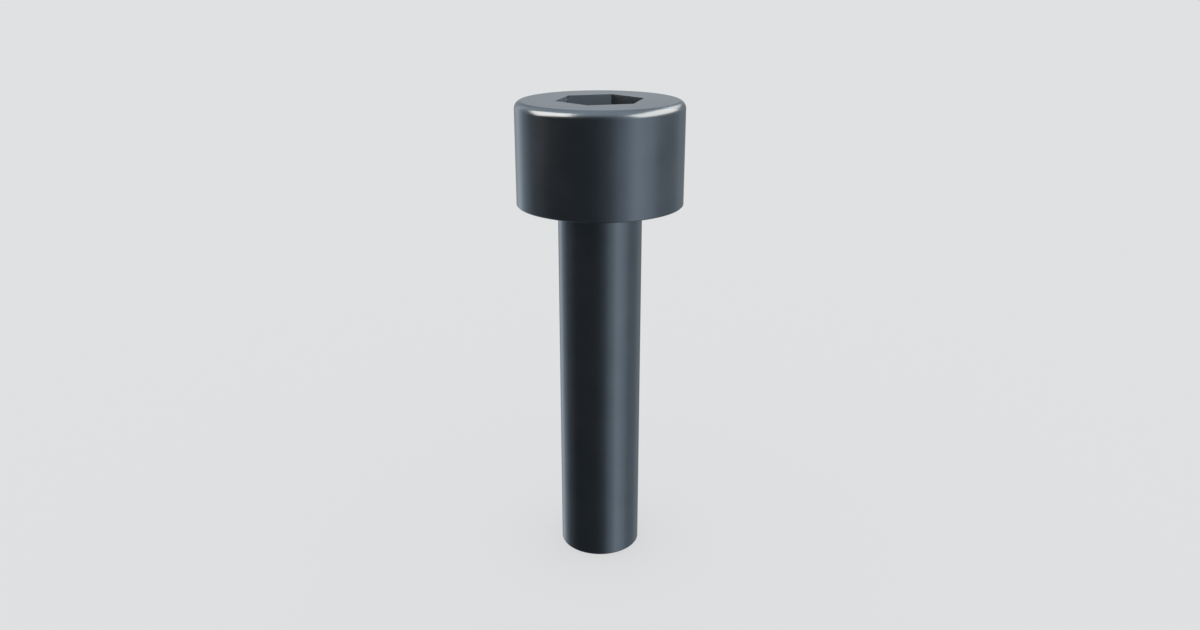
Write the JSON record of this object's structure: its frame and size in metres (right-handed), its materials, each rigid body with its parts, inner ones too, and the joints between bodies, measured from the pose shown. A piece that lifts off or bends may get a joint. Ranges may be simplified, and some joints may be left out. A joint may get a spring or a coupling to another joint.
{
  "type": "socket head cap screw",
  "caption": "Steel screw with a tall cylindrical head, a hexagon socket in its rounded top and a smooth cylindrical shank.",
  "frame": {"origin": "centre of the flat bearing face under the head, on the screw's axis", "axes": "+Z along the screw's axis towards the top of the head, +X through a corner of the hexagon socket; the screw stands on the flat end of its shank"},
  "size_m": [0.0131, 0.013, 0.038],
  "materials": {
    "steel": "satin black oxide"
  },
  "bodies": {
    "root": {"cap_screw": "steel"}
  },
  "joints": []
}
